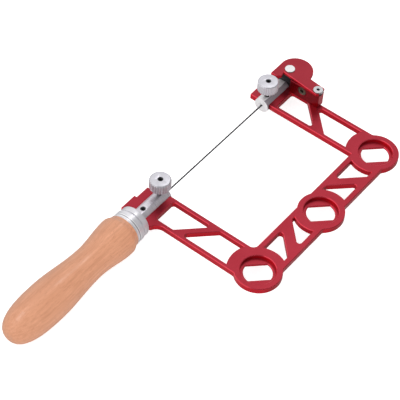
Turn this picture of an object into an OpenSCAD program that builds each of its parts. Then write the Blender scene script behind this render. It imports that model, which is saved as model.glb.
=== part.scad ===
// Fret saw: a windowed metal frame, two rod clamps, a lever that moves the upper
// clamp rod, a blade and a turned wooden handle on a metal ferrule.
// Millimetres. X runs along the blade from the handle to the upper arm, Y runs across
// the frame with the spine on its negative side, Z is the plate's normal.
// The origin lies on the blade line, level with the lower arm's throat face,
// halfway through the plate.

/* [Frame] */
// Clear length of the throat between the two arms
throat_length = 116; // [108:1:124]
// Depth of the throat from the blade line to the spine
throat_depth = 79.2; // [74:0.4:88]
// Width of the arms and of the spine
member_width = 25.6; // [24.4:0.2:26.8]
// Thickness of the frame plate
plate_thickness = 4.8; // [4.4:0.1:5.2]
// Width of the two long rails of each arm
arm_rail = 3; // [2.6:0.1:3.4]
// Width of the two long rails of the spine
spine_rail = 4.2; // [3.8:0.1:4.6]
// Width of the rail between a clamp rod and the first window
end_rail = 4.6; // [4:0.1:5.4]
// Width of the slanting strut in the lower arm
lower_strut = 4.5; // [4:0.1:5.2]
// Width of the slanting strut in the upper arm
upper_strut = 6.5; // [5.8:0.1:7]
// Width of the slanting strut in the lower half of the spine
spine_strut_low = 8.1; // [7.4:0.1:8.8]
// Width of the slanting strut in the upper half of the spine
spine_strut_high = 6.4; // [5.8:0.1:7]
// Distance of the arm struts from the blade line, on the middle of the arm
arm_strut_at = 38.9; // [37:0.1:41]
// Distance of the spine struts from the nearer arm's throat face
spine_strut_at = 23.8; // [22.6:0.1:25]
// Radius of the window corners
window_corner = 2; // [1.6:0.1:2.4]

/* [Discs] */
// Outer radius of the three round bosses
disc_radius = 17; // [16.4:0.1:17.6]
// Distance of the middle boss outward from the middle line of the spine
disc_shift = 2; // [1.4:0.1:2.6]
// Radius of the round recess in each boss
recess_radius = 12.5; // [12:0.1:13]
// Thickness of the floor left under the recess
recess_floor = 1.8; // [1.4:0.1:2.2]
// Radius of the round sides of each slotted opening
opening_radius = 10.2; // [9.6:0.1:10.8]
// Distance between the two flat sides of each slotted opening
opening_width = 13.1; // [12.4:0.1:14]
// Radius from a boss to the end of an arm window
arm_web_radius = 22; // [21:0.1:23]
// Radius from a boss to the end of a spine window
spine_web_radius = 20; // [19:0.1:21]
// Radius of the fillets where the bosses meet the straight edges
boss_fillet = 3; // [2:0.2:4]

/* [Arm ends] */
// Distance of the prong tips behind the arm faces
prong_setback = 4; // [2.5:0.5:6]
// Width of the thin part of each prong, from the rod's side outward
prong_width = 6.1; // [5.4:0.1:6.6]
// Length of the thin part of the lower prong
prong_length = 12; // [10:0.5:13]
// Extra width of the root of the lower prong
prong_step = 2; // [1:0.2:2.6]
// Distance from the lower arm's throat face to the closed end of its slot
lower_slot_length = 20; // [18:0.5:21]
// Distance of the plate's edge beside the ferrule from the blade line
root_width = 12; // [11:0.2:13]
// Radius of the big fillets behind the arm ends
root_fillet = 8; // [7:0.5:9]
// Width of the bridge behind the upper slot
bridge_width = 5; // [4:0.2:6]
// Length of the corner under the lever pivot block
ear_length = 14; // [13:0.5:15]
// Corner cut beside the clamp faces
arm_corner = 1.2; // [0.8:0.1:1.6]
// Radius of the throat's corner beside the lower arm
throat_corner = 4.5; // [3.5:0.1:5.5]

/* [Clamp rods] */
// Diameter of the clamp rods
rod_diameter = 11.8; // [11:0.1:12.4]
// Depth of the side grooves that ride on the plate
groove_depth = 1.2; // [1:0.1:1.4]
// Projection of the lower rod's face past the arm
lower_face_proud = 0.8; // [0.6:0.1:1.4]
// Projection of the upper rod's face past the arm
upper_face_proud = 2; // [1.9:0.1:2.6]
// Thickness of the upper rod's head in front of the grooves
head_thickness = 1; // [0.8:0.1:1]
// Length of the upper rod behind its face
upper_rod_length = 27; // [26:0.5:28]
// Distance of each clamp screw behind its rod's face
clamp_setback = 6.2; // [5.6:0.1:6.6]
// Width of the blade slit in each rod
slit_width = 3; // [2.4:0.1:3.4]
// Height of the blade slit in each rod
slit_height = 0.9; // [0.8:0.1:1.2]
// Depth of the blade slit in the lower rod
lower_slit_depth = 10; // [9.5:0.1:10.5]
// Depth of the blade slit in the upper rod
upper_slit_depth = 13.5; // [13:0.1:14]

/* [Clamp screws and knobs] */
// Diameter of the two clamp screws
clamp_screw_diameter = 4; // [3.6:0.1:4.2]
// Height of the clamp knobs' tops above the middle of the plate
knob_top = 20.8; // [19.8:0.1:22]
// Height of the clamp knobs
knob_height = 8; // [7:0.2:8.6]
// Diameter of the clamp knobs
knob_diameter = 15.8; // [15:0.1:16.4]
// Number of grip flutes around a knob
flute_count = 26; // [22:1:28]
// Depth of the grip flutes
flute_depth = 0.7; // [0.5:0.05:0.8]
// Chamfer on the knobs' top edges
knob_chamfer = 1; // [0.6:0.1:1.2]
// Distance of the screws' top ends below the knob tops
screw_recess = 0.5; // [0.3:0.1:0.8]
// Width across the flats of the clamp screws' sockets
clamp_socket = 2; // [1.8:0.1:2.4]
// Depth of the clamp screws' sockets
clamp_socket_depth = 2.2; // [1.8:0.1:2.6]
// Thickness of the pressure pads on the blade
pad_thickness = 1; // [0.8:0.1:1.2]

/* [Blade] */
// Width of the blade over its teeth
blade_width = 1.3; // [1.1:0.1:1.5]
// Thickness of the blade
blade_thickness = 0.4; // [0.3:0.05:0.5]
// Length of the blade held behind the lower arm's throat face
blade_grip = 8; // [7.6:0.1:8.4]
// Length of the blade held beyond the upper arm's throat face
blade_hold = 6; // [5.6:0.1:6.4]
// Spacing of the teeth
tooth_pitch = 1.7; // [1.5:0.1:2.5]
// Depth of the teeth
tooth_depth = 0.4; // [0.3:0.05:0.5]

/* [Ferrule and handle] */
// Distance of the ferrule's front face behind the lower arm's throat face
ferrule_at = 31; // [30.5:0.5:32]
// Length of the ferrule
ferrule_length = 12; // [11.4:0.2:13]
// Radius of the ferrule's front land
ferrule_front_radius = 12; // [11.6:0.1:12.2]
// Radius of the ferrule's main band
ferrule_radius = 12.6; // [12.4:0.1:13]
// Width of the groove between the ferrule's bands
ferrule_groove = 0.8; // [0.5:0.1:1]
// Depth of the groove between the ferrule's bands
ferrule_groove_depth = 0.7; // [0.4:0.1:0.8]
// Depth of the rod's seat in the ferrule
rod_seat = 6; // [5.5:0.1:6.2]
// Depth of the pocket that holds the handle's tenon
tenon_depth = 2.8; // [2.4:0.1:3]
// Radius of the handle's tenon
tenon_radius = 10; // [9:0.2:10.4]
// Thickness of the ring between the ferrule and the wood
ring_thickness = 1.2; // [0.8:0.1:1.4]
// Length of the handle from the ring to its butt
handle_length = 117.6; // [112:0.4:124]
// Radius of the handle where it meets the ring
collar_radius = 12.9; // [12.6:0.1:13.4]
// Radius of the handle's shoulder bead
shoulder_radius = 15; // [14.4:0.1:15.6]
// Radius of the handle's waist
waist_radius = 12.1; // [11.6:0.1:12.6]
// Radius of the handle's belly
belly_radius = 15.1; // [14.6:0.1:15.8]
// Diameter of the stud that joins the ferrule and the handle
stud_diameter = 6; // [5.4:0.1:6.4]
// Length of the stud
stud_length = 41; // [39:0.5:43]
// Diameter of the threaded insert in the handle
insert_diameter = 10; // [9.4:0.1:11]
// Length of the threaded insert
insert_length = 20; // [18:0.5:22]
// Diameter of the small set screws
set_screw_diameter = 4; // [3.6:0.1:4.2]
// Length of the set screw in the lower rod
rod_set_length = 2.6; // [2.4:0.1:2.8]
// Length of the set screw in the ferrule
ferrule_set_length = 5.4; // [5:0.1:5.6]
// Distance of the rod's set screw behind the lower arm's throat face
rod_set_at = 23.9; // [23.4:0.1:26]
// Distance of the ferrule's set screw behind the ferrule's front face
ferrule_set_at = 3; // [2.8:0.1:3.2]

/* [Tension lever] */
// Distance of the lever's pivot inside the upper arm's outer edge
pivot_inset = 2.2; // [2:0.1:2.4]
// Distance of the lever's pivot from the blade line
pivot_depth = 31.5; // [31.1:0.1:31.9]
// Height of the lever's underside above the middle of the plate
lever_height = 15.2; // [14.9:0.1:15.6]
// Thickness of the lever
lever_thickness = 2.4; // [2.2:0.1:2.8]
// Half width of the lever's bar at the pivot
bar_half_width = 4.6; // [4.5:0.1:4.8]
// Lean of the bar's sides away from the handle, in degrees
bar_lean = 6; // [5.6:0.1:6.4]
// Corner cut on the end of the bar
bar_corner = 1.6; // [1.2:0.1:2]
// Distance of the lobe's centre outward from the pivot
lobe_beyond = 6.1; // [5.8:0.1:6.4]
// Distance of the lobe's centre from the blade line
lobe_depth = 7.1; // [6.8:0.1:7.4]
// Radius of the lever's lobe
lobe_radius = 12.8; // [12.5:0.1:13.2]
// Distance of the finger tab's straight edge past the blade line
tab_edge = 5.6; // [5.2:0.1:6]
// Reach of the finger tab from the pivot line toward the handle
tab_reach = 8.3; // [7.9:0.1:8.7]
// Distance of the finger tab's lower corner past the blade line
tab_corner = 0.2; // [0.1:0.1:0.6]
// Distance of the tab's heel from the pivot line toward the handle
heel_reach = 5.7; // [5.3:0.1:6.1]
// Distance of the tab's heel from the blade line
heel_depth = 2.5; // [2.2:0.1:2.8]
// Distance of the notch beside the heel from the blade line
notch_depth = 1.3; // [1:0.1:1.6]
// Distance of the drive pin outward from the pivot
pin_beyond = 3.8; // [3.6:0.1:4]
// Distance of the drive pin from the blade line
pin_depth = 3.1; // [2.9:0.1:3.3]
// Diameter of the drive pin
pin_diameter = 4; // [3.8:0.1:4.2]
// Diameter of the drive pin's head
pin_head_diameter = 7.6; // [7:0.1:8]
// Height of the drive pin's head above the lever
pin_head_height = 0.7; // [0.5:0.1:1]
// Length of the drive pin below the lever
pin_reach = 7.8; // [7.6:0.1:8]
// Diameter of the pivot screw's shank
pivot_diameter = 3.2; // [3:0.1:3.4]
// Diameter of the pivot screw's head
pivot_head_diameter = 7.4; // [7:0.1:7.6]
// Height of the pivot screw's head
pivot_head_height = 2; // [1.8:0.1:2.1]
// Depth of the recess for the pivot screw's head
pivot_recess = 1.5; // [1.3:0.1:1.6]
// Width across the flats of the pivot screw's socket
pivot_socket = 2; // [1.8:0.1:2.4]
// Depth of the pivot screw's socket
pivot_socket_depth = 1.4; // [1.2:0.1:1.6]
// Diameter of the washer between the block and the lever
washer_diameter = 7; // [6.6:0.1:7.4]
// Thickness of the washer
washer_thickness = 0.6; // [0.5:0.1:0.8]
// Width of the plate's round pad around the pivot screw
pad_margin = 1.4; // [1.2:0.1:1.6]

/* [Yoke and stop] */
// Length of the yoke along the rod's line
yoke_length = 8.4; // [8.2:0.1:8.8]
// Height of the yoke's top above the middle of the plate
yoke_top = 13; // [12.6:0.1:13.2]
// Reach of the yoke's overhang from the blade line toward the pivot
yoke_reach = 7.3; // [7.1:0.1:7.5]
// Wall of the overhang between the slot and the handle's side
yoke_wall = 1.1; // [0.9:0.1:1.3]
// Depth of the pin's slot in the yoke
yoke_slot_depth = 6.2; // [6:0.1:6.4]
// Free length in the slot past each side of the pin
yoke_slot_play = 0.8; // [0.7:0.1:0.9]
// Length of the shank of the yoke's screw
yoke_screw_length = 14; // [13:0.5:14.5]
// Diameter of the yoke's screw
yoke_screw_diameter = 4; // [3.6:0.1:4.2]
// Diameter of the head of the yoke's screw
yoke_head_diameter = 7; // [6.6:0.1:7.2]
// Height of the head of the yoke's screw
yoke_head_height = 2.6; // [2.2:0.1:3]
// Distance of the block's front face from the pivot, toward the handle
block_ahead = 2.6; // [2.4:0.1:2.8]
// Thickness of the block under the lever
block_thickness = 5; // [4.8:0.1:5.4]
// Thickness of the block's end under the pivot
block_end_thickness = 6.6; // [6.2:0.1:7]
// Length of the block's thicker end
block_end_length = 5.8; // [5.4:0.1:6.2]
// Distance of the block's near end from the blade line
block_near = 8.4; // [8.2:0.1:8.8]
// Distance of the block's far end from the blade line
block_far = 34.4; // [34:0.1:34.8]
// Reach of the block's foot beyond the block
foot_reach = 5; // [4.8:0.1:5.2]
// Height of the foot's top above the middle of the plate
foot_top = 6; // [5.6:0.1:6.4]
// Distance of the foot's near end from the blade line
foot_near = 10.5; // [10.2:0.1:10.8]
// Distance of the foot's far end from the blade line
foot_far = 27; // [26.6:0.1:27.2]
// Distance of the stop screw from the blade line
stop_depth = 19.2; // [19:0.1:19.4]
// Height of the stop screw above the middle of the plate
stop_height = 10; // [9.8:0.1:10.1]
// Diameter of the stop screw's shank
stop_diameter = 4; // [3.6:0.1:4.2]
// Diameter of the stop screw's head
stop_head_diameter = 6.8; // [6.4:0.1:7]
// Height of the stop screw's head
stop_head_height = 3; // [2.6:0.1:3.2]
// Width across the flats of the stop screw's socket
stop_socket = 3; // [2.6:0.1:3.2]
// Depth of the stop screw's socket
stop_socket_depth = 2; // [1.6:0.1:2.2]
// Diameter of the peg under the lever
peg_diameter = 3; // [2.8:0.1:3.2]
// Distance of the peg's middle from the stop screw's tip
peg_gap = 3.6; // [3.5:0.1:3.8]
// Distance of the peg from the blade line
peg_depth = 17.6; // [17.4:0.1:17.8]
// Diameter of the two screws that hold the block
block_screw_diameter = 3; // [2.8:0.1:3.2]
// Diameter of the heads of those screws
block_head_diameter = 5.4; // [5:0.1:5.6]
// Height of the heads of those screws
block_head_height = 2; // [1.8:0.1:2.2]
// Length of those screws below their heads
block_screw_length = 5.4; // [5.2:0.1:5.6]

/* [Fits] */
// Radial clearance of a screw or pin in its bore
bore_clearance = 0.05; // [0.03:0.01:0.08]
// Clearance of the rod grooves on the plate
groove_clearance = 0.1; // [0.06:0.01:0.12]
// Clearance between stacked faces
face_clearance = 0.05; // [0.03:0.01:0.08]
// Clearance around a screw head in its recess
head_clearance = 0.2; // [0.15:0.01:0.3]

/* [Hidden] */

round_sides = 96;
small_sides = 48;
handle_steps = 14;
butt_steps = 12;
butt_power = 2.7;
half_share = 1 / 2;
hex_angles = [30, 90, 150, 210, 270, 330];
shoulder_share = 0.055;
waist_share = 0.31;
belly_share = 0.68;
butt_share = 0.03;
knob_chamfer_share = 0.4;
ferrule_land_share = 0.42;
web_bite_share = 0.01;

over = arm_corner;
plate_half = plate_thickness / 2;
blade_length = throat_length + blade_grip + blade_hold;
rod_radius = rod_diameter / 2;
slot_half = rod_radius - groove_depth;
core_half = slot_half - groove_clearance;
groove_half = plate_half + groove_clearance / 2;
spine_middle = -throat_depth - member_width / 2;
outer_edge = throat_length + member_width;
throat_middle = throat_length / 2;
upper_face = throat_length - upper_face_proud;
upper_rod_end = upper_face + upper_rod_length;
yoke_end = upper_rod_end + yoke_length;
upper_slot_end = yoke_end + upper_face_proud - head_thickness;
bridge_end = upper_slot_end + bridge_width;
prong_side = rod_radius + prong_width;
pivot_x = outer_edge - pivot_inset;
pivot_y = -pivot_depth;
pad_radius = pivot_diameter / 2 + pad_margin;
lever_top = lever_height + lever_thickness;
washer_bottom = lever_height - 2 * face_clearance - washer_thickness;
block_top = washer_bottom - face_clearance;
lobe_x = pivot_x + lobe_beyond;
pin_x = pivot_x + pin_beyond;
lower_screw_x = lower_face_proud - clamp_setback;
upper_screw_x = upper_face + clamp_setback;
slit_floor = -blade_thickness / 2 - face_clearance;
pad_bottom = blade_thickness / 2 + face_clearance;
screw_bottom = pad_bottom + pad_thickness + face_clearance;
knob_bottom = knob_top - knob_height;
ferrule_back = -ferrule_at - ferrule_length;
ring_back = ferrule_back - ring_thickness;
stud_front = -ferrule_at - rod_seat - face_clearance;
block_front = pivot_x - block_ahead;
block_back = block_front + block_thickness;
stop_tip = block_back + groove_clearance;
stop_head_front = block_front + groove_clearance;
peg_x = stop_tip + peg_gap;
foot_back = block_back + foot_reach;
block_screw_x = (block_back + foot_back) / 2;
near_screw_y = -foot_near - block_head_diameter / 2;
far_screw_y = -foot_far + block_head_diameter / 2;
slot_floor = yoke_top - yoke_slot_depth;

disc_centres = [
    [-member_width / 2, spine_middle],
    [throat_middle, spine_middle - disc_shift],
    [throat_length + member_width / 2, spine_middle]
];

// Flat shapes that several pieces are drawn from

function unit(v) = v / norm(v);

// centre of a corner rounding between the edges toward a and c
function corner_centre(a, b, c, r) =
    let (u = unit(a - b), w = unit(c - b), m = unit(u + w))
    b + m * r / norm(cross([u[0], u[1], 0], [m[0], m[1], 0]));

function corner_foot(a, b, c, r) =
    let (o = corner_centre(a, b, c, r), u = unit(a - b))
    b + u * ((o - b) * u);

// a convex outline with exact round corners
module rounded_convex(points, r) {
    n = len(points);
    feet = [for (i = [0 : n - 1], side = [0, 1])
        side == 0
            ? corner_foot(points[(i + n - 1) % n], points[i], points[(i + 1) % n], r)
            : corner_foot(points[(i + 1) % n], points[i], points[(i + n - 1) % n], r)];
    polygon(feet);
    for (i = [0 : n - 1])
        translate(corner_centre(points[(i + n - 1) % n], points[i], points[(i + 1) % n], r))
            circle(r = r, $fn = small_sides);
}

// the web that fills the hollow between a disc and a straight edge above it;
// the disc stands at the origin and its edge line at y = line
module boss_web(radius, line, f) {
    reach = sqrt((radius + f) * (radius + f) - (line + f) * (line + f));
    centre = [reach, line + f];
    sunk = f * web_bite_share;
    difference() {
        polygon([[0, 0], [reach, line - f], [reach, line + sunk],
            centre * (radius - sunk) / (radius + f)]);
        translate(centre - [0, sunk])
            circle(r = f, $fn = small_sides);
    }
}

module hex_cut(width, depth) {
    linear_extrude(height = depth)
        polygon([for (a = hex_angles) width / sqrt(3) * [cos(a), sin(a)]]);
}

module rod_along_x(radius, start, finish) {
    translate([start, 0, 0])
        rotate([0, 90, 0])
            cylinder(r = radius, h = finish - start, $fn = round_sides);
}

// The frame: its outline, its windows and its bosses

function strut_line(u) = u - member_width / 2 - arm_strut_at;

// the two windows of an arm: x is the distance outward from the throat face
module arm_windows(strut) {
    near = arm_rail;
    far = member_width - arm_rail;
    rise = strut / sqrt(2);
    top = -rod_radius - end_rail;
    rounded_convex([[near, top], [far, top], [far, strut_line(far) + rise],
        [near, strut_line(near) + rise]], window_corner);
    difference() {
        rounded_convex([[near, strut_line(near) - rise], [far, strut_line(far) - rise],
            [far, spine_middle], [near, spine_middle]], window_corner);
        translate([member_width / 2, spine_middle])
            circle(r = arm_web_radius, $fn = round_sides);
    }
}

// the two windows of a half of the spine: x is the distance from the arm's throat face
module spine_windows(strut, lean) {
    inner = -throat_depth - spine_rail;
    outer = -throat_depth - member_width + spine_rail;
    rise = strut / sqrt(2);
    middle = throat_middle;
    difference() {
        union() {
            rounded_convex([[0, inner], [line_at(inner) - rise, inner],
                [line_at(outer) - rise, outer], [0, outer]], window_corner);
            rounded_convex([[line_at(inner) + rise, inner], [middle, inner],
                [middle, outer], [line_at(outer) + rise, outer]], window_corner);
        }
        translate([-member_width / 2, spine_middle])
            circle(r = spine_web_radius, $fn = round_sides);
        translate([middle, spine_middle - disc_shift])
            circle(r = spine_web_radius, $fn = round_sides);
    }
}

function line_at(y) = y - spine_middle + spine_strut_at;

module frame_outline() {
    root_x = -ferrule_at + face_clearance;
    root_y = -root_width - root_fillet;
    spine_edge = -throat_depth - member_width;
    step_x = -prong_setback - prong_length;
    step_y = prong_side + prong_step;
    ear_y = -root_width - ear_length / 2;
    bite = root_fillet * web_bite_share;
    corner_bite = throat_corner * web_bite_share;
    difference() {
        polygon([
            [root_x, step_y], [root_x, root_y], [-member_width, root_y],
            [-member_width, spine_middle], [-member_width / 2, spine_middle],
            [-member_width / 2, spine_edge], [throat_length + member_width / 2, spine_edge],
            [throat_length + member_width / 2, spine_middle], [outer_edge, spine_middle],
            [outer_edge, ear_y - bridge_end + outer_edge], [bridge_end, ear_y],
            [bridge_end, prong_side], [throat_length, prong_side],
            [throat_length, slot_half], [upper_slot_end, slot_half],
            [upper_slot_end, -slot_half], [throat_length + arm_corner, -slot_half],
            [throat_length, -slot_half - arm_corner], [throat_length, -throat_depth],
            [throat_corner, -throat_depth], [throat_corner, throat_corner - throat_depth],
            [0, throat_corner - throat_depth], [0, -slot_half - arm_corner],
            [-arm_corner, -slot_half], [-lower_slot_length, -slot_half],
            [-lower_slot_length, slot_half], [-prong_setback, slot_half],
            [-prong_setback, prong_side], [step_x, prong_side], [step_x, step_y]
        ]);
        translate([-member_width - root_fillet + bite, root_y])
            circle(r = root_fillet, $fn = round_sides);
        translate([throat_corner - corner_bite, throat_corner - corner_bite - throat_depth])
            circle(r = throat_corner, $fn = round_sides);
    }
    for (c = disc_centres)
        translate(c)
            circle(r = disc_radius, $fn = round_sides);
    translate([pivot_x, pivot_y])
        circle(r = pad_radius, $fn = round_sides);
    boss_webs();
}

module boss_webs() {
    translate(disc_centres[0]) {
        mirror([0, 1])
            boss_web(disc_radius, member_width / 2, boss_fillet);
        rotate(90)
            boss_web(disc_radius, member_width / 2, boss_fillet);
    }
    translate(disc_centres[2])
        mirror([1, 0]) {
            mirror([0, 1])
                boss_web(disc_radius, member_width / 2, boss_fillet);
            rotate(90)
                boss_web(disc_radius, member_width / 2, boss_fillet);
        }
    translate(disc_centres[1])
        for (side = [0, 1])
            mirror([side, 0]) {
                boss_web(disc_radius, member_width / 2 + disc_shift, boss_fillet);
                mirror([0, 1])
                    boss_web(disc_radius, member_width / 2 - disc_shift, boss_fillet);
            }
}

module frame_windows() {
    difference() {
        union() {
            mirror([1, 0])
                arm_windows(lower_strut);
            translate([throat_length, 0])
                arm_windows(upper_strut);
        }
        translate([pivot_x, pivot_y])
            circle(r = pad_radius, $fn = round_sides);
    }
    spine_windows(spine_strut_low);
    translate([throat_length, 0])
        mirror([1, 0])
            spine_windows(spine_strut_high);
    for (c = disc_centres)
        translate(c)
            intersection() {
                circle(r = opening_radius, $fn = round_sides);
                rotate(-45)
                    square([2 * disc_radius, opening_width], center = true);
            }
}

module frame() {
    color("firebrick")
        difference() {
            translate([0, 0, -plate_half])
                linear_extrude(height = plate_thickness)
                    difference() {
                        frame_outline();
                        frame_windows();
                    }
            for (c = disc_centres)
                translate([c[0], c[1], recess_floor - plate_half])
                    cylinder(r = recess_radius, h = plate_thickness, $fn = round_sides);
            translate([pivot_x, pivot_y, -plate_half - over])
                cylinder(d = pivot_diameter + 2 * bore_clearance, h = plate_thickness + 2 * over, $fn = small_sides);
            for (y = [near_screw_y, far_screw_y]) {
                translate([block_screw_x, y, -plate_half - over])
                    cylinder(d = block_screw_diameter + 2 * bore_clearance, h = plate_thickness + 2 * over, $fn = small_sides);
                translate([block_screw_x, y, -plate_half - over])
                    cylinder(d = block_head_diameter + 2 * head_clearance, h = block_head_height + over, $fn = small_sides);
            }
        }
}

// The two clamp rods with their screws, pads and knobs, and the blade

module rod_blank(start, finish, groove_start, groove_finish) {
    difference() {
        rod_along_x(rod_radius, start, finish);
        for (side = [-1, 1])
            translate([groove_start, side > 0 ? core_half : -core_half - rod_radius, -groove_half])
                cube([groove_finish - groove_start, rod_radius, 2 * groove_half]);
    }
}

module slit_and_bore(face, depth, screw_x, toward) {
    translate([toward > 0 ? face - depth : face - over, -slit_width / 2, slit_floor])
        cube([depth + over, slit_width, slit_height]);
    translate([screw_x, 0, slit_floor])
        cylinder(d = clamp_screw_diameter + 2 * bore_clearance, h = rod_radius + over, $fn = small_sides);
}

module lower_clamp_rod() {
    color("lightsteelblue")
        difference() {
            rod_blank(-ferrule_at - rod_seat, lower_face_proud, -ferrule_at - rod_seat - over,
                face_clearance);
            slit_and_bore(lower_face_proud, lower_slit_depth, lower_screw_x, 1);
            // fork over the bridge of the plate
            translate([-ferrule_at - rod_seat - over, -rod_diameter, -groove_half])
                cube([ferrule_at + rod_seat + over - lower_slot_length + groove_clearance,
                    2 * rod_diameter, 2 * groove_half]);
            translate([-rod_set_at, 0, 0])
                cylinder(d = set_screw_diameter + 2 * bore_clearance, h = rod_diameter, $fn = small_sides);
        }
}

module upper_clamp_rod() {
    color("lightsteelblue")
        difference() {
            rod_blank(upper_face, upper_rod_end, upper_face + head_thickness, upper_rod_end + over);
            slit_and_bore(upper_face, upper_slit_depth, upper_screw_x, -1);
            rod_along_x(yoke_screw_diameter / 2 + bore_clearance,
                upper_rod_end + yoke_length - yoke_head_height - yoke_screw_length - face_clearance,
                upper_rod_end + over);
        }
}

module clamp_pad(x) {
    color("goldenrod")
        translate([x, 0, pad_bottom])
            cylinder(d = clamp_screw_diameter - 2 * bore_clearance, h = pad_thickness, $fn = small_sides);
}

module lower_clamp_pad() {
    clamp_pad(lower_screw_x);
}

module upper_clamp_pad() {
    clamp_pad(upper_screw_x);
}

module clamp_screw(x) {
    color("dimgray")
        difference() {
            translate([x, 0, screw_bottom])
                cylinder(d = clamp_screw_diameter, h = knob_top - screw_recess - screw_bottom, $fn = small_sides);
            translate([x, 0, knob_top - screw_recess - clamp_socket_depth])
                hex_cut(clamp_socket, clamp_socket_depth + over);
        }
}

module lower_clamp_screw() {
    clamp_screw(lower_screw_x);
}

module upper_clamp_screw() {
    clamp_screw(upper_screw_x);
}

module clamp_knob(x) {
    radius = knob_diameter / 2;
    low = knob_chamfer * knob_chamfer_share;
    color("gainsboro")
        translate([x, 0, knob_bottom])
            intersection() {
                linear_extrude(height = knob_height)
                    difference() {
                        circle(r = radius, $fn = round_sides);
                        for (i = [0 : flute_count - 1])
                            rotate(i * 360 / flute_count)
                                translate([radius, 0])
                                    rotate(45)
                                        square(flute_depth * sqrt(2), center = true);
                        circle(d = clamp_screw_diameter + 2 * bore_clearance, $fn = small_sides);
                    }
                rotate_extrude($fn = round_sides)
                    polygon([[0, 0], [radius - low, 0], [radius, low], [radius, knob_height - knob_chamfer],
                        [radius - knob_chamfer, knob_height], [0, knob_height]]);
            }
}

module lower_clamp_knob() {
    clamp_knob(lower_screw_x);
}

module upper_clamp_knob() {
    clamp_knob(upper_screw_x);
}

module blade() {
    count = floor((blade_length - 2 * slit_width) / tooth_pitch);
    start = -blade_grip + slit_width;
    low = -blade_width / 2;
    high = blade_width / 2;
    tips = [for (i = [0 : count - 1], k = [0, 1])
        k == 0 ? [start + i * tooth_pitch, high - tooth_depth] : [start + (i + half_share) * tooth_pitch, high]];
    color("darkslategray")
        translate([0, 0, -blade_thickness / 2])
            linear_extrude(height = blade_thickness)
                polygon(concat([[blade_length - blade_grip, low], [-blade_grip, low],
                    [-blade_grip, high - tooth_depth]], tips,
                    [[start + count * tooth_pitch, high - tooth_depth],
                    [blade_length - blade_grip, high - tooth_depth]]));
}

// The ferrule, the wooden handle and what joins them

module ferrule() {
    seat = rod_seat + face_clearance;
    land = ferrule_length * ferrule_land_share;
    color("silver")
        difference() {
            translate([-ferrule_at, 0, 0])
                rotate([0, -90, 0])
                    rotate_extrude($fn = round_sides)
                        difference() {
                            polygon([[0, 0], [ferrule_front_radius - ferrule_groove_depth, 0],
                                [ferrule_front_radius, ferrule_groove_depth],
                                [ferrule_front_radius, land],
                                [ferrule_front_radius - ferrule_groove_depth, land],
                                [ferrule_front_radius - ferrule_groove_depth, land + ferrule_groove],
                                [ferrule_radius, land + ferrule_groove],
                                [ferrule_radius, ferrule_length], [0, ferrule_length]]);
                            square([rod_radius + bore_clearance, seat]);
                            square([stud_diameter / 2 + bore_clearance, ferrule_length + over]);
                            translate([0, ferrule_length - tenon_depth])
                                square([tenon_radius + bore_clearance, tenon_depth + over]);
                        }
            translate([-ferrule_at - ferrule_set_at, 0, -ferrule_radius - over])
                cylinder(d = set_screw_diameter + 2 * bore_clearance, h = ferrule_radius, $fn = small_sides);
        }
}

module ferrule_ring() {
    color("gainsboro")
        translate([ferrule_back - face_clearance, 0, 0])
            rotate([0, -90, 0])
                rotate_extrude($fn = round_sides)
                    translate([tenon_radius + bore_clearance, 0])
                        square([collar_radius - tenon_radius - bore_clearance, ring_thickness - 2 * face_clearance]);
}

function ease(t) = (1 - cos(180 * t)) / 2;

function span(r0, z0, r1, z1, n) = [for (i = [1 : n]) [r0 + (r1 - r0) * ease(i / n), z0 + (z1 - z0) * i / n]];

function butt(z0, z1, n) = [for (i = [1 : n])
    let (a = sin(90 * i / n))
    [belly_radius * pow(max(0, 1 - pow(a, butt_power)), 1 / butt_power), z0 + (z1 - z0) * a]];

module handle() {
    shoulder_z = handle_length * shoulder_share;
    waist_z = handle_length * waist_share;
    belly_z = handle_length * belly_share;
    profile = concat([[0, 0], [collar_radius, 0]],
        span(collar_radius, 0, shoulder_radius, shoulder_z, handle_steps),
        span(shoulder_radius, shoulder_z, waist_radius, waist_z, handle_steps),
        span(waist_radius, waist_z, belly_radius, belly_z, handle_steps),
        butt(belly_z, handle_length, butt_steps));
    color("burlywood")
        difference() {
            union() {
                translate([ring_back, 0, 0])
                    rotate([0, -90, 0])
                        rotate_extrude($fn = round_sides)
                            polygon(profile);
                rod_along_x(tenon_radius, ring_back, ferrule_back + tenon_depth - face_clearance);
            }
            rod_along_x(stud_diameter / 2 + 2 * bore_clearance, stud_front - stud_length - over, 0);
            rod_along_x(insert_diameter / 2 + bore_clearance, ring_back - insert_length, 0);
        }
}

module handle_stud() {
    color("gray")
        rod_along_x(stud_diameter / 2, stud_front - stud_length, stud_front - face_clearance);
}

module handle_insert() {
    color("darkgoldenrod")
        difference() {
            rod_along_x(insert_diameter / 2, ring_back - insert_length + face_clearance, ring_back);
            rod_along_x(stud_diameter / 2 + bore_clearance, ring_back - insert_length - over, 0);
        }
}

module set_screw(length) {
    difference() {
        cylinder(d = set_screw_diameter, h = length, $fn = small_sides);
        translate([0, 0, length - set_screw_diameter / 3])
            hex_cut(set_screw_diameter / 2, set_screw_diameter);
    }
}

module rod_set_screw() {
    color("dimgray")
        translate([-rod_set_at, 0, groove_half])
            set_screw(rod_set_length);
}

module ferrule_set_screw() {
    color("dimgray")
        translate([-ferrule_at - ferrule_set_at, 0, -rod_radius - face_clearance])
            rotate([180, 0, 0])
                set_screw(ferrule_set_length);
}

// The yoke on the upper rod, the lever and its stop

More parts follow.
